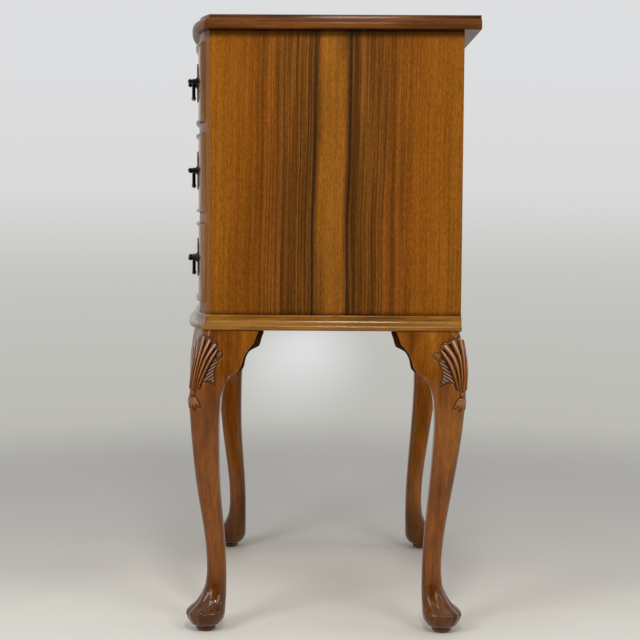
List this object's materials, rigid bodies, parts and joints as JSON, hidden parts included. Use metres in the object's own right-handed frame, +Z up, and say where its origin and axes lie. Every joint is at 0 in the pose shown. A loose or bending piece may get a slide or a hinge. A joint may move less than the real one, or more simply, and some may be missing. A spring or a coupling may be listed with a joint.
{
  "type": "chest of drawers",
  "caption": "Bow-front walnut chest with bead-edged drawers on bail pulls, moulded top and base, on cabriole legs with shell-carved knees and pad feet.",
  "frame": {"origin": "on the floor under the middle of the overall plan box", "axes": "+Z up, width along X, the drawers open towards -Y"},
  "size_m": [0.506, 0.378, 0.78],
  "materials": {
    "walnut": "glossy lacquered walnut veneer and mouldings",
    "walnut_legs": "glossy lacquered walnut, stained redder",
    "inner_wood": "plain hardwood and plywood, sealed",
    "dark_bronze": "dark bronzed, worn at the edges",
    "glide_black": "black moulded glide"
  },
  "bodies": {
    "carcase": {"back_panel": "inner_wood", "base_board": "inner_wood", "base_moulding_front": "walnut", "base_moulding_left": "walnut", "base_moulding_right": "walnut", "divider_lower": "walnut", "divider_upper": "walnut", "drawer_kickers": "inner_wood", "drawer_runners": "inner_wood", "drawer_stops": "inner_wood", "foot_glides": "glide_black", "knee_brackets_back_left": "walnut_legs", "knee_brackets_back_right": "walnut_legs", "knee_brackets_front_left": "walnut_legs", "knee_brackets_front_right": "walnut_legs", "leg_back_left": "walnut_legs", "leg_back_right": "walnut_legs", "leg_corner_blocks": "inner_wood", "leg_front_left": "walnut_legs", "leg_front_right": "walnut_legs", "rail_back_top": "inner_wood", "rail_bottom": "walnut", "rail_top": "walnut", "side_left": "walnut", "side_right": "walnut", "top_board": "walnut"},
    "drawer_top": {"drawer_top_back": "inner_wood", "drawer_top_cockbead": "walnut", "drawer_top_floor": "inner_wood", "drawer_top_front": "walnut", "drawer_top_pull_plates": "dark_bronze", "drawer_top_pull_posts": "dark_bronze", "drawer_top_side_left": "inner_wood", "drawer_top_side_right": "inner_wood"},
    "bail_top_left": {"drawer_top_bail_left": "dark_bronze"},
    "bail_top_right": {"drawer_top_bail_right": "dark_bronze"},
    "drawer_middle": {"drawer_middle_back": "inner_wood", "drawer_middle_cockbead": "walnut", "drawer_middle_floor": "inner_wood", "drawer_middle_front": "walnut", "drawer_middle_pull_plates": "dark_bronze", "drawer_middle_pull_posts": "dark_bronze", "drawer_middle_side_left": "inner_wood", "drawer_middle_side_right": "inner_wood"},
    "bail_middle_left": {"drawer_middle_bail_left": "dark_bronze"},
    "bail_middle_right": {"drawer_middle_bail_right": "dark_bronze"},
    "drawer_bottom": {"drawer_bottom_back": "inner_wood", "drawer_bottom_cockbead": "walnut", "drawer_bottom_floor": "inner_wood", "drawer_bottom_front": "walnut", "drawer_bottom_pull_plates": "dark_bronze", "drawer_bottom_pull_posts": "dark_bronze", "drawer_bottom_side_left": "inner_wood", "drawer_bottom_side_right": "inner_wood"},
    "bail_bottom_left": {"drawer_bottom_bail_left": "dark_bronze"},
    "bail_bottom_right": {"drawer_bottom_bail_right": "dark_bronze"}
  },
  "joints": [
    {"name": "drawer_top_slide", "type": "slide", "parent": "carcase", "child": "drawer_top", "axis": [0, -1, 0], "range_m": [0, 0.22]},
    {"name": "drawer_middle_slide", "type": "slide", "parent": "carcase", "child": "drawer_middle", "axis": [0, -1, 0], "range_m": [0, 0.22]},
    {"name": "drawer_bottom_slide", "type": "slide", "parent": "carcase", "child": "drawer_bottom", "axis": [0, -1, 0], "range_m": [0, 0.22]},
    {"name": "bail_top_left_hinge", "type": "hinge", "parent": "drawer_top", "child": "bail_top_left", "pos_m": [-0.13653, -0.1762, 0.70242], "axis": [-0.996, 0.0899, 0], "range_deg": [0, 85]},
    {"name": "bail_top_right_hinge", "type": "hinge", "parent": "drawer_top", "child": "bail_top_right", "pos_m": [0.13653, -0.1762, 0.70242], "axis": [-0.996, -0.0899, 0], "range_deg": [0, 85]},
    {"name": "bail_middle_left_hinge", "type": "hinge", "parent": "drawer_middle", "child": "bail_middle_left", "pos_m": [-0.13653, -0.1762, 0.58875], "axis": [-0.996, 0.0899, 0], "range_deg": [0, 85]},
    {"name": "bail_middle_right_hinge", "type": "hinge", "parent": "drawer_middle", "child": "bail_middle_right", "pos_m": [0.13653, -0.1762, 0.58875], "axis": [-0.996, -0.0899, 0], "range_deg": [0, 85]},
    {"name": "bail_bottom_left_hinge", "type": "hinge", "parent": "drawer_bottom", "child": "bail_bottom_left", "pos_m": [-0.13653, -0.1762, 0.47508], "axis": [-0.996, 0.0899, 0], "range_deg": [0, 85]},
    {"name": "bail_bottom_right_hinge", "type": "hinge", "parent": "drawer_bottom", "child": "bail_bottom_right", "pos_m": [0.13653, -0.1762, 0.47508], "axis": [-0.996, -0.0899, 0], "range_deg": [0, 85]}
  ]
}
